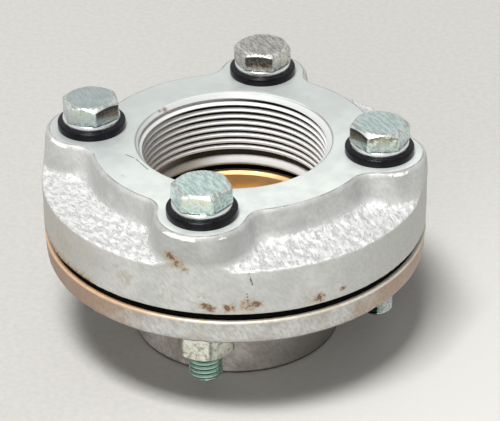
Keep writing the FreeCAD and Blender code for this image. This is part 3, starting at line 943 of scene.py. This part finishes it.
class Tree:
    """A short way to write a material: its colour is laid down in layers, each through a mask from 0 to 1.

    What a node reads can be a number, a colour, another node's output or the name of a painted value.
    """

    def __init__(self, name):
        self.material = bpy.data.materials.new(name)
        self.material.use_nodes = True
        self.nodes = self.material.node_tree.nodes
        self.links = self.material.node_tree.links
        self.place = self.nodes.new("ShaderNodeTexCoord").outputs["Object"]
        self.colour = None

    def plug(self, node, sources):
        """Gives the sockets of a node what they read."""
        for name, source in sources.items():
            socket = node.inputs[name]
            if isinstance(source, str):
                source = self.node("Attribute", "Fac", {}, attribute_name=source)
            if isinstance(source, (int, float)):
                socket.default_value = source
            elif isinstance(source, tuple):
                socket.default_value = source if len(source) == len(socket.default_value) else (*source, 1.0)
            else:
                self.links.new(source, socket)

    def node(self, kind, output, sources, **settings):
        """Adds a node with its settings and what it reads, and gives one of its outputs."""
        node = self.nodes.new("ShaderNode" + kind)
        for name, value in settings.items():
            setattr(node, name, value)
        self.plug(node, sources)
        return node.outputs[output]

    def noise(self, size_mm, detail=3.0, roughness=0.55, lengths=None, turn=(0.0, 0.0, 0.0), distortion=0.0):
        """Noise from 0 to 1 with features of a size in millimetres.

        With lengths, they come out that much longer along each axis of a frame turned by some radians.
        """
        place = self.place
        if lengths:
            sources = {"Vector": place, "Scale": lengths, "Rotation": turn}
            place = self.node("Mapping", "Vector", sources, vector_type="TEXTURE")
        return self.node("TexNoise", "Fac", {
            "Vector": place,
            "Scale": 1 / (size_mm * MM),
            "Detail": detail,
            "Roughness": roughness,
            "Distortion": distortion,
        })

    def vector(self, operation, one, other):
        """A vector node between two vectors; its result is a vector or a number, as the operation gives."""
        output = "Value" if operation in ("DOT_PRODUCT", "DISTANCE") else "Vector"
        second = 3 if operation == "SCALE" else 1
        return self.node("VectorMath", output, {0: one, second: other}, operation=operation)

    def math(self, operation, one, other=0.0):
        return self.node("Math", "Value", {0: one, 1: other}, operation=operation)

    def product(self, one, *others):
        for other in others:
            one = self.math("MULTIPLY", one, other)
        return one

    def between(self, share, low, high):
        """A number between two."""
        return self.math("ADD", self.product(share, high - low), low)

    def ramp(self, value, low, high):
        """0 where value is below low, 1 above high; low may be the greater."""
        return self.node("MapRange", "Result", {
            "Value": value,
            "From Min": min(low, high),
            "From Max": max(low, high),
            "To Min": float(low > high),
            "To Max": float(low < high),
        }, interpolation_type="SMOOTHSTEP")

    def towards(self, x, y, z=0.0):
        """How far each place lies in a direction, metres."""
        return self.vector("DOT_PRODUCT", self.place, (x, y, z))

    def zone(self, direction, start, end):
        """0 up to a start and 1 from an end on, along a direction, millimetres; start may be the greater."""
        return self.ramp(self.towards(*direction), start * MM, end * MM)

    def patchy(self, mask, size_mm, low, high, detail=3.0, roughness=0.55):
        """A mask that stays only where noise is high."""
        return self.product(mask, self.ramp(self.noise(size_mm, detail, roughness), low, high))

    def ragged(self, value, noise, reach):
        """A value with noise added that reaches so far up and down, for a ramp with a ragged edge."""
        return self.math("ADD", value, self.between(noise, -reach, reach))

    def stroke(self, start_mm, end_mm, width_mm):
        """1 on a straight scratch and 0 away from it."""
        start = Vector(start_mm) * MM
        along = Vector(end_mm) * MM - start
        direction = tuple(along.normalized())
        from_start = self.vector("SUBTRACT", self.place, tuple(start))
        reach = self.vector("DOT_PRODUCT", from_start, direction)
        reach = self.math("MINIMUM", self.math("MAXIMUM", reach, 0.0), along.length)
        nearest = self.vector("SCALE", direction, reach)
        away = self.vector("DISTANCE", from_start, nearest)
        return self.ramp(away, width_mm * MM, width_mm * MM * 0.4)

    def mix(self, share, one, other):
        """A colour between two."""
        return self.node("Mix", "Result", {"Factor": share, "A": one, "B": other}, data_type="RGBA")

    def clouds(self, noise, one, other, low=0.35, high=0.65):
        """A colour that drifts from one to another with noise."""
        return self.mix(self.ramp(noise, low, high), one, other)

    def lay(self, mask, colour, strength=1.0):
        """Lays a colour over what is there."""
        self.colour = self.mix(self.product(mask, strength), self.colour, colour)

    def dullness(self, noise, low, high):
        """A roughness that varies with noise."""
        return self.between(self.ramp(noise, 0.3, 0.7), low, high)

    def finish(self, metallic, roughness, relief, depth_mm):
        """The material, with a relief from 0 to 1 as a bump of a depth."""
        bump = self.node("Bump", "Normal", {"Strength": 1.0, "Distance": depth_mm * MM, "Height": relief})
        self.plug(self.nodes["Principled BSDF"], {
            "Base Color": self.colour,
            "Metallic": metallic,
            "Roughness": roughness,
            "Normal": bump,
        })
        return self.material


# Dark cracks in the rim's plating, from one place to another and as wide as, millimetres
CRACKS = (
    ((15.9, -56.5, 52.6), (16.9, -56.3, 49.0), 0.38),
    ((15.4, -56.7, 45.9), (15.6, -56.6, 43.6), 0.34),
)

# Short dark scratches on the iron's top, from one place to another, millimetres
TOP_SCRATCHES = (
    ((-29.9, -15.6), (-26.7, -17.3)),
    ((-26.0, -17.9), (-23.9, -20.2)),
    ((-23.9, -20.2), (-21.2, -23.1)),
)
TOP_SCRATCH_WIDTH = 0.3


def material_iron_cast():
    """Zinc plated cast iron: pale grey and grained, white on the shelf, rusty where the plating failed."""
    tree = Tree("iron_cast")
    cloud = tree.noise(10.0)
    mottle = tree.noise(1.3, 4.0, 0.65)
    strokes = tree.noise(0.8, 4.0, 0.6, WALL_STROKE, WALL_SLANT)
    # The rim, with painted shade at both sides
    tree.colour = tree.clouds(cloud, (0.585, 0.59, 0.57), (0.71, 0.715, 0.695), 0.32, 0.68)
    tree.lay(tree.zone((-1.0, -0.1), 22, 50), (0.53, 0.51, 0.465))
    tree.lay(tree.zone((1.0, 0.2), 18, 50), (0.57, 0.575, 0.55))
    rim = tree.colour
    # The walls above it, with painted shade at the front of the front lug
    tree.colour = tree.clouds(cloud, (0.50, 0.505, 0.50), (0.64, 0.645, 0.64), 0.32, 0.68)
    tree.lay(tree.zone((0.0, -1.0), 50, 56), (0.38, 0.385, 0.37), 0.4)
    above_rim = tree.zone(UP, RIM_EDGE_HEIGHT + 0.5, RIM_EDGE_HEIGHT + 3.0)
    tree.colour = tree.mix(above_rim, rim, tree.colour)
    tree.lay(tree.ramp(strokes, 0.60, 0.38), (0.34, 0.34, 0.33), 0.22)
    pits = tree.patchy(tree.ramp(strokes, 0.66, 0.70), 6.0, 0.48, 0.58)
    tree.lay(pits, (0.20, 0.19, 0.17), 0.8)
    tree.lay(tree.patchy("stain", 1.8, 0.44, 0.62, 4.0, 0.6), (0.42, 0.38, 0.28), 0.55)
    sides = tree.colour
    # The shelf's flakes, with dark veins
    ribs = tree.noise(1.0, 4.0, 0.6, (3.4, 1.0, 1.0), SHELF_SLANT, 0.3)
    lumps = tree.noise(0.9, 4.0, 0.6, (2.8, 1.0, 1.0), LEFT_SHELF_SLANT, 0.5)
    flakes = tree.mix(tree.zone((1.0, 0.1), -12, 8), lumps, ribs)
    tree.colour = tree.clouds(flakes, (0.57, 0.575, 0.575), (0.76, 0.76, 0.76), 0.36, 0.56)
    from_middle = tree.math("ABSOLUTE", tree.math("SUBTRACT", flakes, 0.46))
    tree.lay(tree.patchy(tree.ramp(from_middle, 0.026, 0.004), 3.0, 0.38, 0.52), (0.26, 0.26, 0.26), 0.8)
    on_shelf = tree.ramp(tree.ragged("shelf", mottle, 0.35), 0.44, 0.54)
    tree.colour = tree.mix(on_shelf, sides, tree.colour)
    # The edge of the flat top, outlined dark, with a painted highlight in places on its rounding
    tree.lay(tree.patchy("top_line", 3.0, 0.34, 0.58), (0.22, 0.22, 0.21), 0.75)
    top_edge = tree.ragged("top_edge", tree.noise(2.2, 4.0, 0.65), 1.1)
    tree.lay(tree.ramp(top_edge, 0.52, 0.66), (0.95, 0.95, 0.94))
    # Rust, dark in a brown smear
    spread = tree.ragged("rust", tree.noise(1.1, 4.0, 0.65), 0.9)
    smear = tree.product(tree.ramp(spread, 0.30, 0.85), tree.ramp("rust", 0.02, 0.20))
    rust = tree.ramp(spread, 0.80, 0.98)
    tree.lay(smear, (0.43, 0.27, 0.12), 0.6)
    tree.lay(rust, (0.12, 0.06, 0.025), 0.85)
    for start, end, width in CRACKS:
        crack = tree.patchy(tree.stroke(start, end, width), 1.1, 0.36, 0.52)
        tree.lay(crack, (0.07, 0.06, 0.05), 0.85)
    metallic = tree.product(tree.math("SUBTRACT", 1.0, rust), 0.3)
    relief = tree.mix(on_shelf, strokes, flakes)
    return tree.finish(metallic, tree.dullness(mottle, 0.42, 0.58), relief, 0.20)


def material_iron_machined():
    """The iron's flat top: smooth cool grey white, with painted light that whitens the front, faintly clouded
    and scratched.
    """
    tree = Tree("iron_machined")
    # Painted light makes the top whiter towards the front
    tree.colour = tree.mix(tree.zone((0.45, -1.0), -25, 45), (0.62, 0.66, 0.65), (0.86, 0.915, 0.885))
    tree.lay(tree.ramp(tree.noise(12.0, 4.0, 0.6), 0.62, 0.38), (0.50, 0.53, 0.53), 0.30)
    fine = tree.noise(0.5, 2.0, 0.5, (9.0, 1.0, 1.0), SCRATCH_SLANT)
    marks = tree.patchy(tree.ramp(fine, 0.68, 0.74), 11.0, 0.52, 0.60)
    for start, end in TOP_SCRATCHES:
        scratch = tree.stroke((*start, IRON_TOP), (*end, IRON_TOP), TOP_SCRATCH_WIDTH)
        marks = tree.math("MAXIMUM", marks, scratch)
    tree.lay(tree.patchy(marks, 1.2, 0.36, 0.50), (0.15, 0.14, 0.13), 0.8)
    return tree.finish(0.35, tree.dullness(tree.noise(3.0), 0.36, 0.50), tree.noise(1.6), 0.02)


def material_iron_thread():
    """The cut thread and bore: bright iron, with painted shade deep in the grooves, in the relief and at the
    left.
    """
    tree = Tree("iron_thread")
    left = (-0.98, -0.2)
    at_left = tree.zone(left, 13, 27)
    first_turn = tree.zone(UP, MOUTH_CHAMFER_FOOT - 1.4, MOUTH_CHAMFER_FOOT - 0.4)
    fading = tree.product(first_turn, tree.zone((-0.9, 0.43), 8, 24))
    # Painted shade deep in the thread's grooves and in the relief, fainter at the left and on the first turn
    root_shade = tree.product(
        tree.ramp("depth", 0.51, 0.62),
        tree.zone(UP, RELIEF_BOTTOM + 0.05, RELIEF_BOTTOM + 0.3),
        tree.between(at_left, 1.0, 0.35),
        tree.between(fading, 1.0, 0.35),
    )
    streaks = tree.noise(1.0, 2.0, 0.5, (3.0, 3.0, 0.5))
    tree.colour = tree.clouds(streaks, (0.93, 0.93, 0.93), (0.97, 0.97, 0.97))
    # Painted shade on the bore's left side
    tree.lay(at_left, (0.50, 0.52, 0.52), 0.35)
    tree.lay(tree.zone(UP, MOUTH_CHAMFER_FOOT, MOUTH_CHAMFER_FOOT + 0.3), (0.70, 0.72, 0.71))
    # Painted shade in the relief at the left, where the near black is faint
    below = tree.product(tree.zone(UP, RELIEF_TOP, RELIEF_BOTTOM), tree.zone(left, 2, 16))
    tree.lay(below, (0.34, 0.33, 0.28), 0.8)
    # Painted shade on the bore's lowest edge, just above the gasket
    tree.lay(tree.zone(UP, IRON_FACE + 1.3, IRON_FACE + 0.7), (0.36, 0.36, 0.34), 0.65)
    at_sides = tree.ramp(tree.math("ABSOLUTE", tree.towards(0.98, 0.20)), 0.020, 0.028)
    mouth_line = tree.product(at_sides, tree.zone(UP, IRON_TOP - 0.5, IRON_TOP - 0.15))
    tree.lay(mouth_line, (0.20, 0.20, 0.20), 0.7)
    in_relief = tree.zone(UP, RELIEF_TOP, RELIEF_TOP - 0.2)
    tree.lay(root_shade, tree.mix(in_relief, (0.004, 0.004, 0.004), (0.035, 0.032, 0.024)))
    tree.lay("rust", (0.20, 0.15, 0.10))
    return tree.finish(0.0, tree.between(root_shade, 0.42, 0.75), streaks, 0.01)


def material_bronze_cast():
    """Sand-cast bronze: pinkish brown, a worn grey cream at the front of the rim, with painted shade on the
    left, the lower edge and the hub.
    """
    tree = Tree("bronze_cast")
    cloud = tree.noise(9.0, 4.0)
    grain = tree.noise(0.8, 4.0, 0.6, WALL_STROKE, WALL_SLANT)
    tree.colour = tree.clouds(cloud, (0.47, 0.33, 0.25), (0.52, 0.42, 0.34))
    # Painted shade on the rim's left side
    tree.lay(tree.zone((-1.0, 0.0), 20, 50), (0.37, 0.25, 0.18), 0.75)
    cream = tree.clouds(cloud, (0.56, 0.54, 0.50), (0.65, 0.66, 0.64))
    tree.lay(tree.ramp(tree.ragged("front", cloud, 0.4), 0.15, 0.85), cream)
    # Painted shade along the rim's lower edge
    lower_edge = tree.zone(UP, BRONZE_UNDERSIDE + 1.6, BRONZE_UNDERSIDE + 1.2)
    tree.lay(lower_edge, (0.12, 0.10, 0.085), 0.65)
    rim = tree.colour
    # The hub, with painted shade at its right and a painted contact shadow along its foot
    tree.colour = tree.clouds(cloud, (0.52, 0.475, 0.43), (0.72, 0.685, 0.635), 0.40, 0.62)
    tree.lay(tree.zone((1.0, -0.2), 10, 32), (0.25, 0.24, 0.225))
    tree.lay(tree.zone(UP, 1.0, 0.5), (0.03, 0.028, 0.025), 0.9)
    tree.colour = tree.mix("hub", rim, tree.colour)
    tree.lay(tree.ramp(grain, 0.60, 0.40), (0.16, 0.13, 0.11), 0.28)
    return tree.finish(0.35, tree.dullness(grain, 0.42, 0.60), grain, 0.16)


def material_bronze_face():
    """The bronze's turned face, of which the edge shows outside: pale cream, browner at the left."""
    tree = Tree("bronze_face")
    tree.colour = tree.mix(tree.zone((1.0, 0.3), -5, -45), (0.80, 0.75, 0.65), (0.76, 0.49, 0.29))
    tree.lay(tree.ramp(tree.noise(2.5), 0.4, 0.6), (0.45, 0.36, 0.27), 0.3)
    return tree.finish(0.3, 0.42, tree.noise(0.8), 0.02)


def material_bronze_bore():
    """Turned bronze: golden tan with fine turning marks."""
    tree = Tree("bronze_bore")
    marks = tree.noise(0.5, 2.0, 0.5, (10.0, 10.0, 1.0))
    tree.colour = tree.clouds(tree.noise(8.0), (0.72, 0.47, 0.20), (0.80, 0.56, 0.28))
    return tree.finish(0.55, tree.dullness(marks, 0.38, 0.50), marks, 0.01)


def material_bolt():
    """Zinc plating on a forged head: teal white in streaks, dull and stained, with painted cream and dark
    reflections and shade.
    """
    tree = Tree("bolt_zinc")
    streaks = tree.noise(0.9, 3.0, 0.6, (4.0, 1.0, 1.0), HEAD_SLANT)
    tree.colour = tree.clouds(streaks, (0.46, 0.61, 0.595), (0.76, 0.90, 0.87), 0.36, 0.62)
    tree.lay("dull", tree.mix(streaks, (0.30, 0.37, 0.38), (0.62, 0.68, 0.69)))
    tree.lay("grey", tree.clouds(streaks, (0.30, 0.29, 0.28), (0.58, 0.57, 0.55), 0.36, 0.62))
    tree.lay("bevel", tree.clouds(streaks, (0.42, 0.43, 0.41), (0.78, 0.79, 0.76), 0.36, 0.62), 0.8)
    # A painted pale reflection on each bolt's cream face
    tree.lay(tree.patchy("cream", 2.4, 0.34, 0.50), (0.74, 0.78, 0.63))
    specks = tree.patchy(tree.ramp(tree.noise(1.2, 4.0), 0.62, 0.70), 4.0, 0.55, 0.65)
    stain = tree.patchy("stain", 1.6, 0.42, 0.52, 4.0, 0.65)
    tree.lay(tree.math("MAXIMUM", specks, stain), (0.15, 0.11, 0.06))
    # Painted contact shadow at the head's lower edge
    low_edge = tree.zone(UP, HEAD_SEAT + 0.45, HEAD_SEAT + 0.20)
    on_head = tree.zone(UP, HEAD_SEAT - 1.0, HEAD_SEAT - 0.5)
    contact_shadow = tree.product(tree.patchy(tree.product(low_edge, on_head), 2.5, 0.40, 0.54), 0.8)
    # A painted dark reflection and shade on each bolt's dark face
    dark = tree.product("dark", tree.between(streaks, 0.85, 1.20))
    tree.lay(tree.math("MAXIMUM", dark, contact_shadow), (0.050, 0.050, 0.043))
    # The threaded end, in painted shade: dark green on its crests and near black in its grooves and on the
    # right bolt's shaded side
    tree.lay(tree.ramp("end", 0.0, 0.4), (0.42, 0.60, 0.54))
    tree.lay(tree.ramp("end", 0.66, 0.90), (0.03, 0.05, 0.05))
    return tree.finish(0.85, tree.dullness(streaks, 0.20, 0.34), streaks, 0.07)


def material_nut():
    """Zinc plating on a nut: pale yellow green and mottled, with painted shade along the corners and on faces
    turned from the front.
    """
    tree = Tree("nut_zinc")
    mottle = tree.noise(1.6, 4.0, 0.6)
    tree.colour = tree.clouds(mottle, (0.44, 0.45, 0.36), (0.86, 0.88, 0.77), 0.34, 0.58)
    tree.lay("dark", (0.10, 0.10, 0.08))
    return tree.finish(0.6, tree.dullness(mottle, 0.26, 0.42), mottle, 0.12)


def material_washer():
    """Bright zinc plated washer steel."""
    tree = Tree("washer_zinc")
    cloud = tree.noise(3.0)
    tree.colour = tree.clouds(cloud, (0.74, 0.77, 0.77), (0.86, 0.87, 0.86))
    return tree.finish(0.95, tree.dullness(cloud, 0.16, 0.28), tree.noise(1.0), 0.02)


def material_plastic():
    """Black moulded plastic, a little glossy, with a blue cast."""
    tree = Tree("sleeve_plastic")
    tree.nodes["Principled BSDF"].inputs["Specular IOR Level"].default_value = 0.17
    tree.colour = tree.clouds(tree.noise(4.0), (0.002, 0.002, 0.004), (0.006, 0.006, 0.010))
    return tree.finish(0.0, tree.dullness(tree.noise(2.0), 0.14, 0.30), tree.noise(1.6), 0.06)


def material_gasket():
    """Matt black rubber."""
    tree = Tree("gasket_rubber")
    tree.nodes["Principled BSDF"].inputs["Specular IOR Level"].default_value = 0.02
    tree.colour = tree.clouds(tree.noise(3.0), (0.002, 0.002, 0.002), (0.004, 0.004, 0.004))
    return tree.finish(0.0, 0.75, tree.noise(0.8), 0.04)


def material_floor():
    """A pale warm grey table top with a very faint grain, and painted light that makes it brighter at the
    right.
    """
    tree = Tree("table_top")
    grain = tree.noise(2.0)
    tree.colour = tree.clouds(grain, (0.605, 0.597, 0.573), (0.645, 0.637, 0.612))
    # Painted light brightens the floor towards the right and front
    tree.lay(tree.zone((0.87, -0.50), -20, 100), (0.760, 0.752, 0.722))
    return tree.finish(0.0, 0.8, grain, 0.05)


# The scene round the object

def dress_gasket():
    """The gasket keeps its shape from the frame and gets its rubber."""
    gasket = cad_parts["gasket"]
    gasket.data.materials.clear()
    gasket.data.materials.append(material_gasket())


def make_floor():
    """The surface the union stands on."""
    half = 3.0
    corners = [(-half, -half, 0), (half, -half, 0), (half, half, 0), (-half, half, 0)]
    mesh = bpy.data.meshes.new("floor")
    mesh.from_pydata(corners, [], [(0, 1, 2, 3)])
    mesh.materials.append(material_floor())
    floor = add_object("floor", mesh)


# How far off the lamps are, metres, and the room's colour as it lights the object and as it shows
LAMP_DISTANCE = 3.0
ROOM_LIGHT = (0.195, 0.20, 0.205, 1.0)
ROOM_SHOWN = (0.72, 0.72, 0.70, 1.0)


def place_lamp(lamp, towards_lamp):
    """Puts a lamp in a direction from the object, facing it."""
    lamp.color = (1.0, 0.99, 0.97)
    light = add_object(lamp.name, lamp)
    direction = Vector(towards_lamp).normalized()
    light.rotation_euler = direction.to_track_quat("Z", "Y").to_euler()
    light.location = direction * LAMP_DISTANCE


def make_light():
    """A broad lamp above and a little in front, a low soft one in front, and the room's light all round."""
    tube = bpy.data.lights.new("tube", "AREA")
    tube.shape = "RECTANGLE"
    tube.size = 1.1
    tube.size_y = 0.7
    tube.energy = 87.0
    place_lamp(tube, (-0.10, -0.30, 1.0))
    window = bpy.data.lights.new("window", "SUN")
    window.energy = 0.58
    window.angle = math.radians(30.0)
    place_lamp(window, (0.02, -1.0, 0.30))
    world = bpy.data.worlds.new("room")
    world.use_nodes = True
    nodes = world.node_tree.nodes
    links = world.node_tree.links
    rays = nodes.new("ShaderNodeLightPath")
    shown = rays.outputs["Is Camera Ray"]
    for kind in ("Is Transmission Ray", "Is Glossy Ray"):
        either = nodes.new("ShaderNodeMath")
        either.operation = "MAXIMUM"
        links.new(shown, either.inputs[0])
        links.new(rays.outputs[kind], either.inputs[1])
        shown = either.outputs[0]
    colour = nodes.new("ShaderNodeMix")
    colour.data_type = "RGBA"
    links.new(shown, colour.inputs["Factor"])
    colour.inputs["A"].default_value = ROOM_LIGHT
    colour.inputs["B"].default_value = ROOM_SHOWN
    links.new(colour.outputs["Result"], nodes["Background"].inputs["Color"])
    bpy.context.scene.world = world


# The photograph's view, for a picture 500 pixels wide: the camera's place in millimetres and how it turns
CAMERA_PLACE = (125.5, -575.9, 391.6)
CAMERA_TURN = math.radians(11.85)
CAMERA_PITCH = math.radians(30.93)
CAMERA_ROLL = -0.0126
FOCAL_PIXELS = 2227.3
PICTURE_WIDTH = 500
SENSOR_WIDTH = 36.0


def make_camera():
    """The camera at the photograph's place."""
    lens = bpy.data.cameras.new("camera")
    lens.sensor_width = SENSOR_WIDTH
    lens.lens = FOCAL_PIXELS / PICTURE_WIDTH * SENSOR_WIDTH
    lens.clip_start = 0.01
    camera = add_object("camera", lens)
    turn = Matrix.Rotation(CAMERA_TURN, 4, "Z")
    tilt = Matrix.Rotation(TURN / 4 - CAMERA_PITCH, 4, "X")
    roll = Matrix.Rotation(CAMERA_ROLL, 4, "Z")
    camera.matrix_world = Matrix.Translation(Vector(CAMERA_PLACE) * MM) @ turn @ tilt @ roll
    bpy.context.scene.camera = camera


make_iron_flange()
make_bronze_flange()
dress_gasket()
for place in PLACES:
    make_sleeve(place)
    make_washer(place, "head_washer", HEAD_WASHER_RADIUS, COLLAR_TOP, HEAD_SEAT)
    make_washer(place, "nut_washer", NUT_WASHER_RADIUS, NUT_SEAT, BRONZE_UNDERSIDE)
    make_bolt(place)
    make_nut(place)
make_floor()
make_light()
make_camera()
bpy.context.scene.view_settings.view_transform = "Standard"
